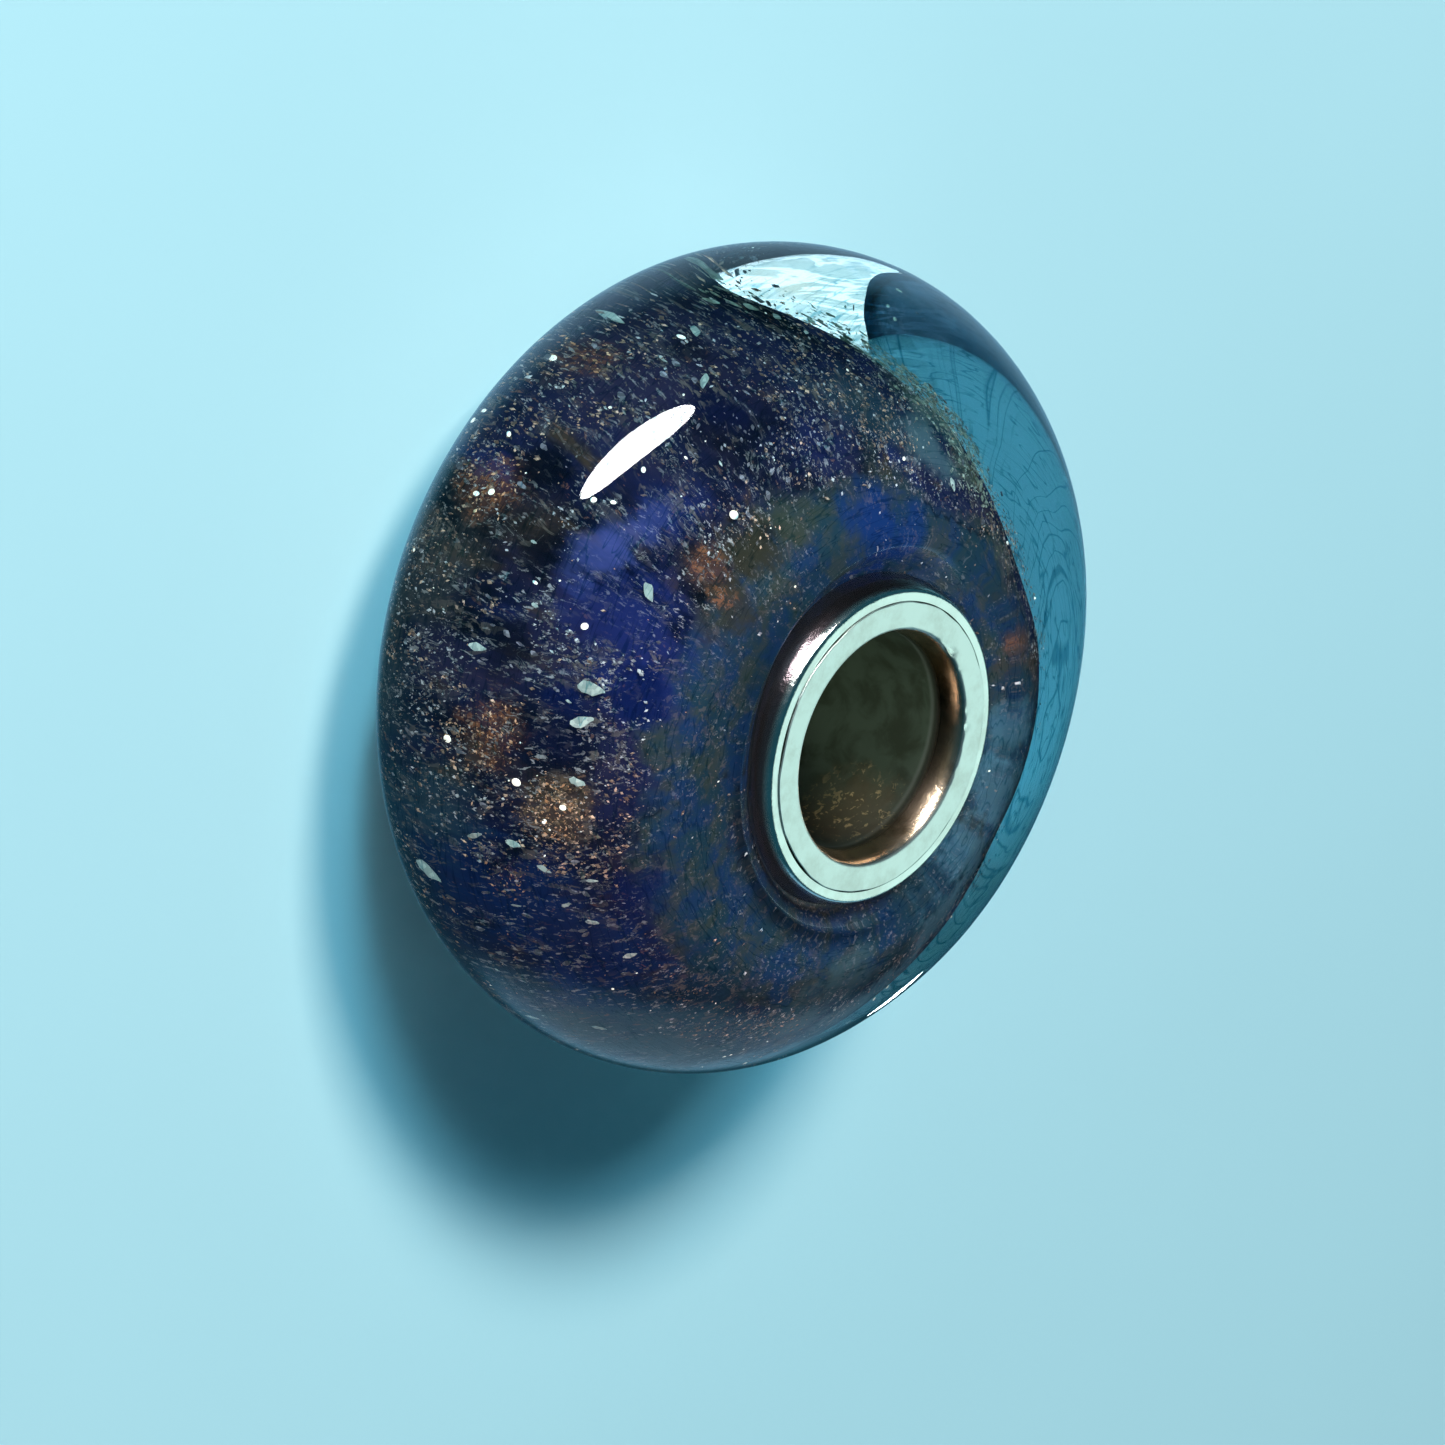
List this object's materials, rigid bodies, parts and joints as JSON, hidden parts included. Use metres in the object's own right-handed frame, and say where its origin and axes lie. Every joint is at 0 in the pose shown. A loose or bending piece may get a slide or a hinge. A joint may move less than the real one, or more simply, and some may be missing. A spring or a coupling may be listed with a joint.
{
  "type": "european charm bead",
  "caption": "Round glass charm bead: dark flecked inner glass cased in clear glass, on a bright metal core tube with flared flanges and collars, for threading on a charm bracelet.",
  "frame": {"origin": "centre of the bore, halfway between the two flange faces", "axes": "+Z along the bore towards the front end; the clear outer glass is off-centre towards -X and +Y"},
  "size_m": [0.015, 0.015, 0.0082],
  "materials": {
    "clear_glass": "polished, clear, faint fine streaks",
    "dark_glass": "opaque midnight blue with cobalt clouds, black patches and copper and silver flecks",
    "silver": "satin flange face, polished collar and mouth, tarnished bore"
  },
  "bodies": {
    "root": {"glass_casing": "clear_glass", "glass_body": "dark_glass", "core_tube": "silver", "front_collar": "silver", "back_collar": "silver"}
  },
  "joints": []
}
